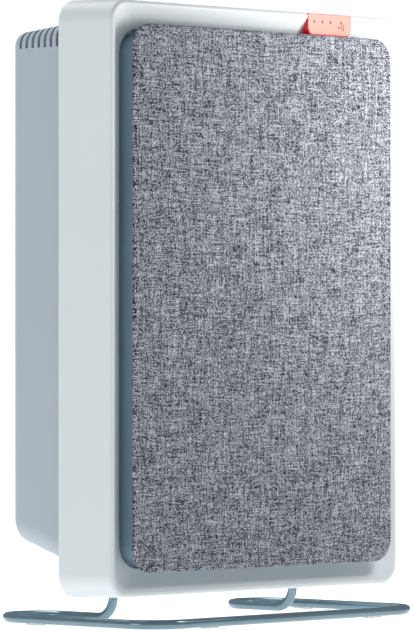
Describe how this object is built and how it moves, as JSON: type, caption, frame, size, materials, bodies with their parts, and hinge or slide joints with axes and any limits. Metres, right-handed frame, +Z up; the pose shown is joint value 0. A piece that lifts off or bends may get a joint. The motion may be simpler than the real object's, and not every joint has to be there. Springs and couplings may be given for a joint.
{
  "type": "air purifier",
  "caption": "Upright desktop air purifier: white dished frame, fabric-covered front panel over a pleated filter, centrifugal fan in a slotted rear shell, bent wire stand.",
  "frame": {"origin": "centre of the whole object on the surface that it stands on", "axes": "+Z up, +Y towards the back (the fabric front faces -Y), +X to the right as one faces the front"},
  "size_m": [0.2476, 0.1322, 0.353],
  "materials": {
    "frame_white": "fine satin texture",
    "fabric_grey": "woven heather",
    "board_grey": "matte",
    "tray_teal": "fine texture",
    "magnet_nickel": "plated",
    "steel_zinc": "zinc plated",
    "rim_dark": "matte",
    "net_dark": "fine net",
    "card_white": "matte",
    "media_white": "pleated",
    "foam_grey": "foam",
    "ribbon_red": "ribbon",
    "shell_grey": "fine texture",
    "deck_grey": "matte",
    "fan_light": "matte",
    "rotor_steel": "drawn",
    "magnet_dark": "sintered",
    "copper_wire": "enamelled",
    "brass_turned": "turned",
    "bush_black": "matte",
    "board_green": "solder mask",
    "part_black": "moulded",
    "key_red": "translucent",
    "key_pink": "frosted",
    "lamp_red": "clear",
    "guide_clear": "clear",
    "wire_blue": "satin",
    "pad_clear": "clear",
    "block_black": "matte"
  },
  "bodies": {
    "housing": {"front_frame": "frame_white", "catch_plates": "steel_zinc", "rear_shell": "shell_grey", "shell_screws": "steel_zinc", "fan_deck": "deck_grey", "deck_screws": "steel_zinc", "inlet_guard": "block_black", "scroll_housing": "deck_grey", "motor_stator": "rotor_steel", "motor_windings": "copper_wire", "bearing_tube": "brass_turned", "motor_bearings": "brass_turned", "motor_plate": "steel_zinc", "motor_bushes": "bush_black", "motor_screws": "steel_zinc", "main_board": "board_green", "board_parts": "part_black", "board_screws": "steel_zinc", "power_inlet": "part_black", "tab_pin": "steel_zinc", "light_guides": "guide_clear", "lamp_block": "part_black", "display_board": "board_green", "key_switch": "part_black", "stand_wire": "wire_blue", "foot_pads": "pad_clear", "stand_block_left": "block_black", "stand_block_right": "block_black", "stand_screws": "steel_zinc"},
    "panel": {"panel_fabric": "fabric_grey", "panel_board": "board_grey", "panel_tray": "tray_teal", "panel_magnets": "magnet_nickel"},
    "filter": {"prefilter_frame": "rim_dark", "prefilter_mesh": "net_dark", "filter_frame": "card_white", "filter_media": "media_white", "filter_seal": "foam_grey", "filter_ribbon": "ribbon_red"},
    "fan": {"impeller": "fan_light", "motor_rotor": "rotor_steel", "rotor_magnet": "magnet_dark", "motor_shaft": "steel_zinc"},
    "key": {"tab_body": "key_red", "tab_face": "key_pink", "tab_lamps": "lamp_red", "tab_symbol": "lamp_red"}
  },
  "joints": [
    {"name": "fan_spin", "type": "hinge", "parent": "housing", "child": "fan", "pos_m": [0, 0.02235, 0.19], "axis": [0, 1, 0], "continuous": true},
    {"name": "panel_pull", "type": "slide", "parent": "housing", "child": "panel", "axis": [0, -1, 0], "range_m": [0, 0.06]},
    {"name": "filter_pull", "type": "slide", "parent": "housing", "child": "filter", "axis": [0, -1, 0], "range_m": [0, 0.03]},
    {"name": "key_press", "type": "hinge", "parent": "housing", "child": "key", "pos_m": [0, -0.01765, 0.35], "axis": [1, 0, 0], "range_deg": [0, 2.2], "stiffness_Nm_per_rad": 0.6, "springref_deg": -1.15}
  ],
  "couplings": [
    {"joint": "filter_pull", "follows": "panel_pull", "ratio": 0.5}
  ]
}
